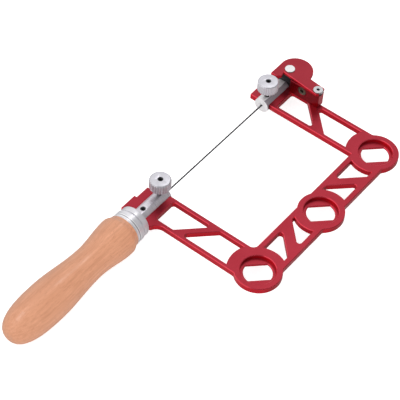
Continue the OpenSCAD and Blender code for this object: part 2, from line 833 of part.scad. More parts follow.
module rod_yoke() {
    slot_reach = pin_diameter / 2 + yoke_slot_play;
    slot_side = pin_diameter / 2 + bore_clearance;
    start = upper_rod_end + face_clearance;
    overhang = pin_x - slot_side - yoke_wall;
    color("slategray")
        difference() {
            union() {
                translate([start, -core_half, -core_half])
                    cube([yoke_end - start, 2 * core_half, core_half + yoke_top]);
                translate([overhang, -yoke_reach, rod_radius + face_clearance])
                    cube([yoke_end - overhang, yoke_reach + core_half,
                        yoke_top - rod_radius - face_clearance]);
            }
            translate([pin_x - slot_side, -pin_depth - slot_reach, slot_floor])
                cube([2 * slot_side, 2 * slot_reach, yoke_slot_depth + over]);
            rod_along_x(yoke_screw_diameter / 2 + bore_clearance, upper_rod_end - over, yoke_end);
            rod_along_x(yoke_head_diameter / 2 + head_clearance, yoke_end - yoke_head_height, yoke_end + over);
        }
}

module yoke_screw() {
    inner = yoke_end - yoke_head_height + face_clearance;
    color("dimgray")
        difference() {
            union() {
                rod_along_x(yoke_screw_diameter / 2, inner - yoke_screw_length, inner + over);
                rod_along_x(yoke_head_diameter / 2, inner, yoke_end - face_clearance);
            }
            translate([yoke_end - yoke_head_height * half_share, 0, 0])
                rotate([0, 90, 0])
                    hex_cut(yoke_screw_diameter * half_share, yoke_head_height);
        }
}

// the sides of the bar lean away from the handle: side is -1 for the handle's side
function bar_side(side, y) = pivot_x + side * bar_half_width + (y - pivot_y) * tan(bar_lean);

module lever_outline() {
    tip = pivot_x - tab_reach;
    clear = tip - lobe_radius;
    difference() {
        union() {
            polygon([[tip, -block_far], [bar_side(1, -block_far), -block_far],
                [bar_side(1, -lobe_depth), -lobe_depth], [lobe_x, -lobe_depth], [lobe_x, tab_edge],
                [tip - over, tab_edge], [tip - over, -lobe_depth], [tip, -lobe_depth]]);
            translate([lobe_x, -lobe_depth])
                circle(r = lobe_radius, $fn = round_sides);
        }
        polygon([[bar_side(-1, -block_far) + bar_corner + over, -block_far - over],
            [bar_side(-1, bar_corner - block_far), bar_corner - block_far],
            [bar_side(-1, -notch_depth), -notch_depth], [pivot_x - heel_reach, -heel_depth],
            [tip, tab_corner], [tip, tab_edge + over], [clear, tab_edge + over],
            [clear, -block_far - over]]);
        translate([tip - over, tab_edge])
            square([4 * lobe_radius, lobe_radius]);
    }
}

module tension_lever() {
    color("crimson")
        difference() {
            translate([0, 0, lever_height])
                linear_extrude(height = lever_thickness)
                    lever_outline();
            translate([pivot_x, pivot_y, lever_height - over])
                cylinder(d = pivot_diameter + 2 * bore_clearance, h = lever_thickness + 2 * over, $fn = small_sides);
            translate([pivot_x, pivot_y, lever_top - pivot_recess])
                cylinder(d = pivot_head_diameter + 2 * head_clearance, h = pivot_recess + over, $fn = small_sides);
            translate([pin_x, -pin_depth, lever_height - over])
                cylinder(d = pin_diameter + 2 * bore_clearance, h = lever_thickness + 2 * over, $fn = small_sides);
            translate([peg_x, -peg_depth, lever_height - over])
                cylinder(d = peg_diameter + 2 * bore_clearance, h = lever_thickness - pivot_recess + over, $fn = small_sides);
        }
}

module drive_pin() {
    color("white")
        translate([pin_x, -pin_depth, 0]) {
            translate([0, 0, lever_height - pin_reach])
                cylinder(d = pin_diameter, h = pin_reach + lever_thickness + face_clearance, $fn = small_sides);
            translate([0, 0, lever_top + face_clearance])
                cylinder(d = pin_head_diameter, h = pin_head_height - face_clearance, $fn = small_sides);
        }
}

module stop_peg() {
    bottom = stop_height - stop_diameter / 2;
    color("gray")
        translate([peg_x, -peg_depth, bottom])
            cylinder(d = peg_diameter, h = lever_top - pivot_recess - bottom, $fn = small_sides);
}

module lever_washer() {
    color("black")
        translate([pivot_x, pivot_y, washer_bottom])
            difference() {
                cylinder(d = washer_diameter, h = washer_thickness, $fn = round_sides);
                translate([0, 0, -over])
                    cylinder(d = pivot_diameter + 2 * bore_clearance, h = washer_thickness + 2 * over, $fn = small_sides);
            }
}

module lever_pivot_screw() {
    head_bottom = lever_top - pivot_recess + face_clearance;
    color("gainsboro")
        translate([pivot_x, pivot_y, 0])
            difference() {
                union() {
                    translate([0, 0, -plate_half])
                        cylinder(d = pivot_diameter, h = head_bottom + plate_half + over / 2, $fn = small_sides);
                    translate([0, 0, head_bottom])
                        cylinder(d = pivot_head_diameter, h = pivot_head_height, $fn = small_sides);
                }
                translate([0, 0, head_bottom + pivot_head_height - pivot_socket_depth])
                    hex_cut(pivot_socket, pivot_socket_depth + over);
            }
}

module stop_block() {
    bottom = plate_half + face_clearance;
    color("firebrick")
        difference() {
            union() {
                translate([block_front, -block_far, bottom])
                    cube([block_thickness, block_far - block_near, block_top - bottom]);
                translate([block_front, -block_far, bottom])
                    cube([block_end_thickness, block_end_length, block_top - bottom]);
                translate([pivot_x, -foot_far, bottom])
                    cube([foot_back - pivot_x, foot_far - foot_near, foot_top - bottom]);
            }
            translate([pivot_x, pivot_y, bottom - over])
                cylinder(d = pivot_diameter + 2 * bore_clearance, h = block_top + over, $fn = small_sides);
            translate([0, -stop_depth, stop_height]) {
                rod_along_x(stop_diameter / 2 + bore_clearance, block_front - over, block_back + over);
                rod_along_x(stop_head_diameter / 2 + head_clearance, block_front - over,
                    stop_head_front + stop_head_height + face_clearance);
            }
            for (y = [near_screw_y, far_screw_y])
                translate([block_screw_x, y, -plate_half])
                    cylinder(d = block_screw_diameter + 2 * bore_clearance,
                        h = block_head_height + block_screw_length + 2 * face_clearance, $fn = small_sides);
        }
}

module stop_block_screws() {
    color("dimgray")
        for (y = [near_screw_y, far_screw_y])
            translate([block_screw_x, y, -plate_half])
                difference() {
                    union() {
                        cylinder(d = block_head_diameter, h = block_head_height - face_clearance, $fn = small_sides);
                        cylinder(d = block_screw_diameter, h = block_head_height + block_screw_length, $fn = small_sides);
                    }
                    translate([0, 0, -over])
                        hex_cut(block_screw_diameter / 2, over + block_head_height / 2);
                }
}

module stop_screw() {
    color("gainsboro")
        translate([0, -stop_depth, stop_height])
            difference() {
                union() {
                    rod_along_x(stop_diameter / 2, stop_head_front, stop_tip);
                    rod_along_x(stop_head_diameter / 2, stop_head_front, stop_head_front + stop_head_height);
                }
                translate([stop_head_front - over, 0, 0])
                    rotate([0, 90, 0])
                        hex_cut(stop_socket, stop_socket_depth + over);
            }
}

frame();
handle();
ferrule();
ferrule_ring();
handle_stud();
handle_insert();
lower_clamp_rod();
lower_clamp_pad();
lower_clamp_screw();
lower_clamp_knob();
rod_set_screw();
ferrule_set_screw();
blade();
upper_clamp_rod();
upper_clamp_pad();
upper_clamp_screw();
upper_clamp_knob();
rod_yoke();
yoke_screw();
tension_lever();
drive_pin();
stop_peg();
lever_washer();
lever_pivot_screw();
stop_block();
stop_block_screws();
stop_screw();
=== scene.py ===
import math

import bpy
from mathutils import Matrix, Vector


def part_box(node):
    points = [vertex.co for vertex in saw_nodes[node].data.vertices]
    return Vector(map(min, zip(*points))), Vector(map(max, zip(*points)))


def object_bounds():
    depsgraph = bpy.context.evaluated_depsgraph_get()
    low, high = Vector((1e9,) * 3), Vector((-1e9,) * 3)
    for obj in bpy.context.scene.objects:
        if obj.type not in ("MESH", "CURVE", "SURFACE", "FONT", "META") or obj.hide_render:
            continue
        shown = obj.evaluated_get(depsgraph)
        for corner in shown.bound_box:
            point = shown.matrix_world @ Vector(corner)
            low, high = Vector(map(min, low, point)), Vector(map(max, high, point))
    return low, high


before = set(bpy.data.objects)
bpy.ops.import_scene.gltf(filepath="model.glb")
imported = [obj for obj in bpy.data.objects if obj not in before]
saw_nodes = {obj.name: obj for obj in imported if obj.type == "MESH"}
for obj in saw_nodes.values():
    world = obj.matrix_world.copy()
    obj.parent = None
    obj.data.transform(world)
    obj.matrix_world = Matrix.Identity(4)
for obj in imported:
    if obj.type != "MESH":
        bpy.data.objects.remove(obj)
cad_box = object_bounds()

MM = 0.001


def middle_of(node):
    """The middle of a piece's box."""
    low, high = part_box(node)
    return (Vector(low) + Vector(high)) / 2


# Camera: where it stood, and which way its right side and top pointed
CAMERA_PLACE = Vector((-0.616892, -0.461074, 0.892798))
CAMERA_RIGHT = Vector((0.61688, -0.78555, 0.0486))
CAMERA_UP = Vector((0.57782, 0.49395, 0.64972))
CAMERA_LENS_MM = 151.01
CAMERA_SENSOR_MM = 36.0
CAMERA_NEAR = 10 * MM
CAMERA_FAR = 20


def set_camera():
    right = CAMERA_RIGHT.normalized()
    back = right.cross(CAMERA_UP).normalized()
    up = back.cross(right)
    data = bpy.data.cameras.new("photo_camera")
    data.sensor_width = CAMERA_SENSOR_MM
    data.lens = CAMERA_LENS_MM
    data.clip_start = CAMERA_NEAR
    data.clip_end = CAMERA_FAR
    camera = bpy.data.objects.new("photo_camera", data)
    turn = Matrix((right, up, back)).transposed().to_4x4()
    camera.matrix_world = Matrix.Translation(CAMERA_PLACE) @ turn
    bpy.context.collection.objects.link(camera)
    bpy.context.scene.camera = camera


# Node groups shared by several finishes

def new_group(name, inputs, outputs):
    """An empty shader group with named inputs (name, kind, default) and outputs (name, kind)."""
    group = bpy.data.node_groups.new(name, "ShaderNodeTree")
    for label, kind, default in inputs:
        socket = group.interface.new_socket(
            label, in_out="INPUT", socket_type="NodeSocket" + kind)
        socket.default_value = default
    for label, kind in outputs:
        group.interface.new_socket(label, in_out="OUTPUT", socket_type="NodeSocket" + kind)
    return group, group.nodes.new("NodeGroupInput"), group.nodes.new("NodeGroupOutput")


class Wiring:
    """Short ways to add and join nodes in one tree."""

    def __init__(self, tree):
        self.tree = tree

    def node(self, kind, **settings):
        made = self.tree.nodes.new(kind)
        for key, value in settings.items():
            setattr(made, key, value)
        return made

    def join(self, source, target):
        self.tree.links.new(source, target)

    def feed(self, socket, value):
        if isinstance(value, bpy.types.NodeSocket):
            self.join(value, socket)
        else:
            socket.default_value = value

    def give(self, sink, results):
        """Joins a group's results, by name, to its output node."""
        for label, socket in results.items():
            self.join(socket, sink.inputs[label])

    def math(self, operation, first, second=0.0):
        made = self.node("ShaderNodeMath", operation=operation)
        self.feed(made.inputs[0], first)
        self.feed(made.inputs[1], second)
        return made.outputs[0]

    def vector(self, operation, first, second=(0, 0, 0), out=0):
        made = self.node("ShaderNodeVectorMath", operation=operation)
        self.feed(made.inputs[0], first)
        if operation == "SCALE":
            self.feed(made.inputs["Scale"], second)
        elif operation != "LENGTH":
            self.feed(made.inputs[1], second)
        return made.outputs[out]

    def noise(self, place, scale, detail=2.0, roughness=0.5):
        made = self.node("ShaderNodeTexNoise")
        self.feed(made.inputs["Vector"], place)
        made.inputs["Scale"].default_value = scale
        made.inputs["Detail"].default_value = detail
        made.inputs["Roughness"].default_value = roughness
        return made.outputs["Fac"]

    def spread(self, value, low, high, out_low=0.0, out_high=1.0):
        made = self.node("ShaderNodeMapRange")
        self.feed(made.inputs["Value"], value)
        self.feed(made.inputs["From Min"], low)
        self.feed(made.inputs["From Max"], high)
        self.feed(made.inputs["To Min"], out_low)
        self.feed(made.inputs["To Max"], out_high)
        return made.outputs["Result"]

    def blend(self, first, second, first_share):
        """The weighted sum of two masks."""
        return self.math("ADD", self.math("MULTIPLY", first, first_share),
                         self.math("MULTIPLY", second, 1.0 - first_share))

    def mix(self, share, first, second):
        """A colour between two; sockets 6, 7 and the output 2 are the node's colour ones."""
        made = self.node("ShaderNodeMix", data_type="RGBA")
        self.feed(made.inputs[0], share)
        self.feed(made.inputs[6], first)
        self.feed(made.inputs[7], second)
        return made.outputs[2]

    def stretch(self, place, factors):
        made = self.node("ShaderNodeMapping")
        self.feed(made.inputs["Vector"], place)
        made.inputs["Scale"].default_value = factors
        return made.outputs[0]


def rgba(colour):
    return (colour[0], colour[1], colour[2], 1.0)


# Noise scales are in cells per metre. LIMITS are the values where a mask starts and ends.
FINE_SHARE = 0.6
LATHE_FINENESS = 4000.0
LATHE_BLOTCH_SCALE = 260.0
LATHE_TONE_LIMITS = (0.35, 0.65)


def make_lathe_lines():
    """Fine rings of a turned piece: round its axis on the side, concentric on the ends."""
    group, source, sink = new_group(
        "lathe_lines",
        [("Centre", "Vector", (0, 0, 0)), ("Axis", "Vector", (1, 0, 0)),
         ("Tone Dark", "Color", (0.5, 0.5, 0.5, 1)), ("Tone Light", "Color", (0.6, 0.6, 0.6, 1))],
        [("Color", "Color"), ("Lines", "Float"), ("Along", "Float"), ("Outward", "Float")])
    w = Wiring(group)
    place = w.node("ShaderNodeTexCoord").outputs["Object"]
    arm = w.vector("SUBTRACT", place, source.outputs["Centre"])
    along = w.vector("DOT_PRODUCT", arm, source.outputs["Axis"], out=1)
    on_axis = w.vector("SCALE", source.outputs["Axis"], along)
    outward = w.vector("LENGTH", w.vector("SUBTRACT", arm, on_axis), out=1)
    flat = w.node("ShaderNodeCombineXYZ")
    w.join(w.math("MULTIPLY", along, LATHE_FINENESS), flat.inputs[0])
    w.join(w.math("MULTIPLY", outward, LATHE_FINENESS), flat.inputs[1])
    lines = w.noise(flat.outputs[0], 1.0, detail=3.0, roughness=0.65)
    tone = w.blend(lines, w.noise(place, LATHE_BLOTCH_SCALE), FINE_SHARE)
    colour = w.mix(w.spread(tone, *LATHE_TONE_LIMITS),
                   source.outputs["Tone Dark"], source.outputs["Tone Light"])
    w.give(sink, {"Color": colour, "Lines": lines, "Along": along, "Outward": outward})
    return group


SKIN_CLOUD_SCALE = 45.0
SKIN_CLOUD_SHARE = 0.6
SKIN_GRAIN_SCALE = 2600.0
SKIN_TONE_LIMITS = (0.38, 0.62)
FACING_UP_LIMITS = (0.15, 0.75)
FACING_CROSSWAYS_LIMITS = (0.75, 0.95)


def make_blasted_skin():
    """The matt grain that bead blasting leaves under a dyed skin.

    The milled walls take their own colour, a purer red that also carries painted light, and those
    that face along Y take a second wall colour, so painted light and shade follow how a wall
    faces.
    """
    group, source, sink = new_group(
        "blasted_skin",
        [("Top", "Color", (0.4, 0.04, 0.07, 1)), ("Top Light", "Color", (0.45, 0.05, 0.08, 1)),
         ("Wall", "Color", (0.15, 0.01, 0.02, 1)), ("Cross Wall Shading", "Color", (0.1, 0.01, 0.02, 1))],
        [("Color", "Color"), ("Grain", "Float"), ("Mottle", "Float")])
    w = Wiring(group)
    coords = w.node("ShaderNodeTexCoord")
    place = coords.outputs["Object"]
    facing = w.node("ShaderNodeSeparateXYZ")
    w.join(coords.outputs["Normal"], facing.inputs[0])
    grain = w.noise(place, SKIN_GRAIN_SCALE)
    cloud = w.noise(place, SKIN_CLOUD_SCALE, detail=3.0, roughness=0.55)
    mottle = w.blend(cloud, grain, SKIN_CLOUD_SHARE)
    face = w.mix(w.spread(mottle, *SKIN_TONE_LIMITS),
                 source.outputs["Top"], source.outputs["Top Light"])
    # Walls that face along Y take the second wall colour: painted shade on the frame and lever,
    # painted light on the stop block's ends.
    crossways = w.spread(w.math("ABSOLUTE", facing.outputs[1]), *FACING_CROSSWAYS_LIMITS)
    wall_shading = w.mix(crossways, source.outputs["Wall"], source.outputs["Cross Wall Shading"])
    upright = w.spread(w.math("ABSOLUTE", facing.outputs[2]), *FACING_UP_LIMITS)
    w.give(sink, {"Color": w.mix(upright, wall_shading, face), "Grain": grain, "Mottle": mottle})
    return group


# The tree's middle lies well outside the blank, so its layers are cut as long lines, with arcs
# at the butt. CELLS are noise cells per metre along X, Y and Z.
PITH_PLACE = (0.0, -30.0 * MM, -46.0 * MM)
ACROSS_THE_TREE = (0.0, 1.0, 1.0)
RING_WIDTH = 2.6 * MM
RING_WANDER = 9.0 * MM
BAND_CELLS = (9.0, 95.0, 60.0)
STREAK_CELLS = (20.0, 700.0, 700.0)
FIBRE_CELLS = (60.0, 1500.0, 1500.0)
FLECK_CELLS = (330.0, 2600.0, 2600.0)
STREAK_SHARE = 0.55
FIBRE_SHARE = 0.25
BAND_SHARE = 0.2
RING_SHARE = 0.035
WOOD_TONE_LIMITS = (0.34, 0.66)
FLECK_LIMITS = (0.62, 0.72)
FLECK_STRENGTH = 0.55
FLECK_DEPTH = 0.3


def make_beech_figure():
    """Beech turned along X: growth layers, cut into lines and arcs, fibres and ray flecks."""
    group, source, sink = new_group(
        "beech_figure",
        [("Pale", "Color", (0.75, 0.45, 0.3, 1)), ("Deep", "Color", (0.6, 0.3, 0.18, 1)),
         ("Fleck", "Color", (0.5, 0.22, 0.12, 1))],
        [("Color", "Color"), ("Height", "Float"), ("Figure", "Float")])
    w = Wiring(group)
    place = w.node("ShaderNodeTexCoord").outputs["Object"]
    bands = w.noise(w.stretch(place, BAND_CELLS), 1.0, detail=3.0)
    cross = w.vector("MULTIPLY", w.vector("SUBTRACT", place, PITH_PLACE), ACROSS_THE_TREE)
    layer = w.math("ADD", w.vector("LENGTH", cross, out=1), w.math("MULTIPLY", bands, RING_WANDER))
    rings = w.math("SINE", w.math("MULTIPLY", layer, 2 * math.pi / RING_WIDTH))
    streaks = w.noise(w.stretch(place, STREAK_CELLS), 1.0, detail=3.0, roughness=0.6)
    fibres = w.noise(w.stretch(place, FIBRE_CELLS), 1.0, detail=3.0, roughness=0.6)
    flecks = w.noise(w.stretch(place, FLECK_CELLS), 1.0, detail=1.0, roughness=0.4)
    fleck_mask = w.spread(flecks, *FLECK_LIMITS)
    figure = w.math("MULTIPLY", streaks, STREAK_SHARE)
    for mask, share in ((fibres, FIBRE_SHARE), (bands, BAND_SHARE), (rings, RING_SHARE)):
        figure = w.math("ADD", figure, w.math("MULTIPLY", mask, share))
    body = w.mix(w.spread(figure, *WOOD_TONE_LIMITS),
                 source.outputs["Deep"], source.outputs["Pale"])
    flecked = w.mix(w.math("MULTIPLY", fleck_mask, FLECK_STRENGTH), body, source.outputs["Fleck"])
    height = w.math("SUBTRACT", fibres, w.math("MULTIPLY", fleck_mask, FLECK_DEPTH))
    w.give(sink, {"Color": flecked, "Height": height, "Figure": figure})
    return group


METAL_GRAIN_SCALE = 1800.0
METAL_PATCH_SCALE = 320.0
METAL_TONE_LIMITS = (0.36, 0.64)


def make_dull_grain():
    """Uneven fine grain for milled, plated and blackened steel, with an optional direction."""
    group, source, sink = new_group(
        "dull_grain",
        [("Stretch", "Vector", (1, 1, 1)), ("Dark", "Color", (0.05, 0.05, 0.05, 1)),
         ("Light", "Color", (0.1, 0.1, 0.1, 1))],
        [("Color", "Color"), ("Height", "Float"), ("Grain", "Float")])
    w = Wiring(group)
    place = w.node("ShaderNodeTexCoord").outputs["Object"]
    drawn = w.vector("MULTIPLY", place, source.outputs["Stretch"])
    grain = w.noise(drawn, METAL_GRAIN_SCALE, detail=3.0, roughness=0.6)
    tone = w.blend(grain, w.noise(place, METAL_PATCH_SCALE), FINE_SHARE)
    colour = w.mix(w.spread(tone, *METAL_TONE_LIMITS),
                   source.outputs["Dark"], source.outputs["Light"])
    w.give(sink, {"Color": colour, "Height": grain, "Grain": tone})
    return group


LATHE_LINES = make_lathe_lines()
BLASTED_SKIN = make_blasted_skin()
BEECH_FIGURE = make_beech_figure()
DULL_GRAIN = make_dull_grain()


def new_finish(name, metallic, coat=0.0, coat_roughness=0.1):
    """A material with its own shader; returns it with its wiring and the shader node."""
    finish = bpy.data.materials.new(name)
    finish.use_nodes = True
    tree = finish.node_tree
    tree.nodes.clear()
    w = Wiring(tree)
    shader = w.node("ShaderNodeBsdfPrincipled")
    shader.inputs["Metallic"].default_value = metallic
    shader.inputs["Coat Weight"].default_value = coat
    shader.inputs["Coat Roughness"].default_value = coat_roughness
    out = w.node("ShaderNodeOutputMaterial")
    w.join(shader.outputs[0], out.inputs[0])
    return finish, w, shader


def place_group(w, group, values):
    made = w.node("ShaderNodeGroup", node_tree=group)
    for label, value in values.items():
        made.inputs[label].default_value = value
    return made


def vary_roughness(w, shader, mask, mask_limits, roughness):
    """Roughness that runs with a mask, from the first value of a pair to the second."""
    w.join(w.spread(mask, *mask_limits, *roughness), shader.inputs["Roughness"])


def add_bump(w, shader, height, depth_mm, strength=1.0):
    bump = w.node("ShaderNodeBump")
    bump.inputs["Strength"].default_value = strength
    bump.inputs["Distance"].default_value = depth_mm * MM
    w.join(height, bump.inputs["Height"])
    w.join(bump.outputs[0], shader.inputs["Normal"])


GRAIN_LIMITS = (0.35, 0.65)
LINE_LIMITS = (0.3, 0.7)


# The wall colours are the milled walls' red with painted light and shade in it.
def red_skin(name, top, top_light, wall_shading, cross_wall_shading, roughness, metallic=0.8, grain_mm=0.012):
    finish, w, shader = new_finish(name, metallic, coat=0.06, coat_roughness=0.25)
    skin = place_group(w, BLASTED_SKIN, {
        "Top": rgba(top), "Top Light": rgba(top_light),
        "Wall": rgba(wall_shading), "Cross Wall Shading": rgba(cross_wall_shading)})
    w.join(skin.outputs["Color"], shader.inputs["Base Color"])
    vary_roughness(w, shader, skin.outputs["Mottle"], GRAIN_LIMITS, roughness)
    add_bump(w, shader, skin.outputs["Grain"], grain_mm, strength=0.6)
    return finish


SOCKET_SHADE = (0.012, 0.013, 0.016)
SOFT_EDGE = 0.15 * MM
# A face turned toward -Y by more than this takes the painted shade of a rod's shaded side
SHADED_SIDE_LIMITS = (-0.34, -0.28)


def turned_metal(name, centre, axis, dark, light, roughness, depth_mm=0.004, metallic=0.9,
                 socket_mm=None, bands=(), shaded_side=None):
    """Metal from a lathe.

    A socket on its axis is shaded out to socket_mm. Each band is (distance from the centre along
    the axis, half its width, colour). The colour given for the side faces toward -Y is painted
    shade.
    """
    finish, w, shader = new_finish(name, metallic)
    lines = place_group(w, LATHE_LINES, {
        "Centre": centre, "Axis": axis, "Tone Dark": rgba(dark), "Tone Light": rgba(light)})
    colour = lines.outputs["Color"]
    if socket_mm:
        rim = socket_mm * MM
        metal = w.spread(lines.outputs["Outward"], rim - SOFT_EDGE, rim)
        colour = w.mix(metal, rgba(SOCKET_SHADE), colour)
    for place, half_width, shade in bands:
        away = w.math("ABSOLUTE", w.math("SUBTRACT", lines.outputs["Along"], place))
        outside = w.spread(away, half_width, half_width + SOFT_EDGE)
        colour = w.mix(outside, rgba(shade), colour)
    # Faces toward -Y get painted shade in place of the turned colour.
    if shaded_side:
        facing = w.node("ShaderNodeSeparateXYZ")
        w.join(w.node("ShaderNodeTexCoord").outputs["Normal"], facing.inputs[0])
        away_from_shade = w.spread(facing.outputs[1], *SHADED_SIDE_LIMITS)
        colour = w.mix(away_from_shade, rgba(shaded_side), colour)
    w.join(colour, shader.inputs["Base Color"])
    vary_roughness(w, shader, lines.outputs["Lines"], LINE_LIMITS, roughness)
    add_bump(w, shader, lines.outputs["Lines"], depth_mm)
    return finish


def grained_metal(name, dark, light, roughness, stretch=(1, 1, 1), metallic=0.9):
    finish, w, shader = new_finish(name, metallic)
    grain = place_group(w, DULL_GRAIN, {
        "Stretch": stretch, "Dark": rgba(dark), "Light": rgba(light)})
    w.join(grain.outputs["Color"], shader.inputs["Base Color"])
    vary_roughness(w, shader, grain.outputs["Grain"], GRAIN_LIMITS, roughness)
    add_bump(w, shader, grain.outputs["Height"], depth_mm=0.006)
    return finish


def lacquered_beech():
    finish, w, shader = new_finish("lacquered_beech", 0.0, coat=0.35, coat_roughness=0.16)
    figure = place_group(w, BEECH_FIGURE, {
        "Pale": rgba((0.83, 0.39, 0.225)), "Deep": rgba((0.67, 0.29, 0.155)),
        "Fleck": rgba((0.54, 0.2, 0.1))})
    w.join(figure.outputs["Color"], shader.inputs["Base Color"])
    vary_roughness(w, shader, figure.outputs["Figure"], LINE_LIMITS, (0.36, 0.48))
    add_bump(w, shader, figure.outputs["Height"], depth_mm=0.015, strength=0.5)
    return finish


ALONG_X = (1, 0, 0)
ALONG_Z = (0, 0, 1)

# The frame's walls are a purer red painted brighter than the tops, as painted reflection of the
# lit floor; its walls facing along Y are painted darker as shade.
red_frame = red_skin(
    "red_frame", top=(0.34, 0.016, 0.03), top_light=(0.395, 0.024, 0.042),
    wall_shading=(0.72, 0.009, 0.027), cross_wall_shading=(0.42, 0.0045, 0.013), roughness=(0.3, 0.4))
# The chamfers' near-white red is a painted highlight line along the edges.
red_edge_highlight = red_skin(
    "red_edge_highlight", top=(0.8, 0.06, 0.095), top_light=(0.92, 0.08, 0.12),
    wall_shading=(0.85, 0.03, 0.06), cross_wall_shading=(0.6, 0.02, 0.04), roughness=(0.24, 0.3),
    metallic=0.9, grain_mm=0.002)
# The lever's walls carry the same painted reflection and shade as the frame's.
red_lever = red_skin(
    "red_lever", top=(0.33, 0.018, 0.032), top_light=(0.375, 0.026, 0.042),
    wall_shading=(0.75, 0.01, 0.03), cross_wall_shading=(0.46, 0.005, 0.014), roughness=(0.28, 0.38))
# The stop block's walls facing X are painted dark as the shadow under the lever, and its ends
# facing along Y are painted lighter as lit faces.
red_block_shading = red_skin(
    "red_block_shading", top=(0.36, 0.016, 0.03), top_light=(0.4, 0.024, 0.04),
    wall_shading=(0.3, 0.003, 0.012), cross_wall_shading=(0.5, 0.02, 0.04), roughness=(0.24, 0.34),
    metallic=0.9)
beech = lacquered_beech()

blade_line = middle_of("lower_clamp_rod")
# Near white for painted highlights on the ferrule's rim
RING_HIGHLIGHT = (0.97, 0.97, 0.98)
DARK_BAND = (0.34, 0.34, 0.38)
# Painted light for the upper knob's side
LIT_KNOB_SIDE = (0.8, 0.78, 0.83)
SILVER_DARK = (0.58, 0.57, 0.62)
SILVER_LIGHT = (0.7, 0.69, 0.74)

# Two near-white rings painted as the rim's highlights, with a dark band between them, at the
# ferrule's handle end
ferrule_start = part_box("ferrule")[0][0] - blade_line[0]
FERRULE_BANDS = ((ferrule_start + 0.5 * MM, 0.3 * MM, RING_HIGHLIGHT),
                 (ferrule_start + 1.5 * MM, 0.2 * MM, DARK_BAND),
                 (ferrule_start + 2.2 * MM, 0.25 * MM, RING_HIGHLIGHT))
ferrule_metal = turned_metal(
    "ferrule_metal", blade_line, ALONG_X, (0.68, 0.67, 0.71), (0.86, 0.85, 0.89), (0.28, 0.4),
    metallic=0.55, bands=FERRULE_BANDS)
lower_rod_metal = turned_metal(
    "lower_rod_metal", blade_line, ALONG_X, (0.62, 0.59, 0.64), (0.78, 0.75, 0.8), (0.26, 0.38),
    depth_mm=0.002, metallic=0.65)
# The upper rod is near white as a painted highlight, and its side toward -Y carries painted shade.
upper_rod_metal = turned_metal(
    "upper_rod_metal", blade_line, ALONG_X, (0.9, 0.89, 0.91), (0.97, 0.96, 0.97), (0.26, 0.36),
    depth_mm=0.0015, metallic=0.25, shaded_side=(0.3, 0.27, 0.3))
lower_knob_metal = turned_metal(
    "lower_knob_metal", middle_of("lower_clamp_knob"), ALONG_Z, SILVER_DARK, SILVER_LIGHT,
    (0.26, 0.36), metallic=0.7)
# The upper knob's side is painted brighter than the lower knob's, as painted light.
upper_knob_metal = turned_metal(
    "upper_knob_metal", middle_of("upper_clamp_knob"), ALONG_Z, SILVER_DARK, SILVER_LIGHT,
    (0.26, 0.36), metallic=0.7, bands=((0.0, 3.4 * MM, LIT_KNOB_SIDE),))
pivot_metal = turned_metal(
    "pivot_metal", middle_of("lever_pivot_screw"), ALONG_Z, (0.52, 0.52, 0.54), (0.68, 0.68, 0.7),
    (0.2, 0.32), socket_mm=1.15)
pin_metal = turned_metal(
    "pin_metal", middle_of("drive_pin"), ALONG_Z, (0.82, 0.82, 0.83), (0.9, 0.9, 0.9), (0.1, 0.2))
peg_metal = turned_metal(
    "peg_metal", middle_of("stop_peg"), ALONG_Z, (0.6, 0.6, 0.62), (0.74, 0.74, 0.76), (0.2, 0.32))
stop_metal = turned_metal(
    "stop_metal", middle_of("stop_screw"), ALONG_X, (0.13, 0.1, 0.075), (0.26, 0.21, 0.16),
    (0.25, 0.4), socket_mm=1.1)
turned_brass = turned_metal(
    "turned_brass", blade_line, ALONG_X, (0.6, 0.42, 0.16), (0.76, 0.58, 0.26), (0.22, 0.35))
# Blackened steel, made near black as painted shade for the gap under the lever.
yoke_metal_in_shade = grained_metal(
    "yoke_metal_in_shade", (0.02, 0.02, 0.023), (0.05, 0.05, 0.056), (0.35, 0.5), metallic=0.6)
black_oxide = grained_metal(
    "black_oxide", (0.012, 0.012, 0.014), (0.035, 0.035, 0.04), (0.3, 0.5), metallic=0.6)
blade_steel = grained_metal(
    "blade_steel", (0.012, 0.012, 0.014), (0.035, 0.035, 0.04), (0.4, 0.55),
    stretch=(0.08, 1, 1), metallic=0.6)
zinc_plate = grained_metal("zinc_plate", (0.5, 0.51, 0.53), (0.66, 0.67, 0.7), (0.25, 0.4))

FINISHES = {
    "frame": red_frame, "stop_block": red_block_shading, "tension_lever": red_lever,
    "handle": beech, "ferrule": ferrule_metal, "ferrule_ring": ferrule_metal,
    "lower_clamp_rod": lower_rod_metal, "upper_clamp_rod": upper_rod_metal,
    "lower_clamp_knob": lower_knob_metal, "upper_clamp_knob": upper_knob_metal,
    "handle_stud": zinc_plate, "handle_insert": turned_brass,
    "lower_clamp_pad": turned_brass, "upper_clamp_pad": turned_brass,
    "lower_clamp_screw": black_oxide, "upper_clamp_screw": black_oxide,
    "rod_set_screw": black_oxide, "ferrule_set_screw": black_oxide,
    "lever_washer": black_oxide, "yoke_screw": black_oxide, "stop_block_screws": black_oxide,
    "blade": blade_steel, "rod_yoke": yoke_metal_in_shade, "drive_pin": pin_metal,
    "stop_peg": peg_metal, "lever_pivot_screw": pivot_metal, "stop_screw": stop_metal,
}

SHARP_ABOVE_DEGREES = 28
CHAMFER_ABOVE_DEGREES = 32
WELD_DISTANCE = MM / 500
FLAT_WITHIN_DEGREES = 0.4


def new_shape_group(name):
    """A geometry group; returns it with its wiring, the shape it takes and the one it gives."""
    group = bpy.data.node_groups.new(name, "GeometryNodeTree")
    for way in ("INPUT", "OUTPUT"):
        group.interface.new_socket("Geometry", in_out=way, socket_type="NodeSocketGeometry")
    w = Wiring(group)
    return group, w, w.node("NodeGroupInput").outputs[0], w.node("NodeGroupOutput").inputs[0]


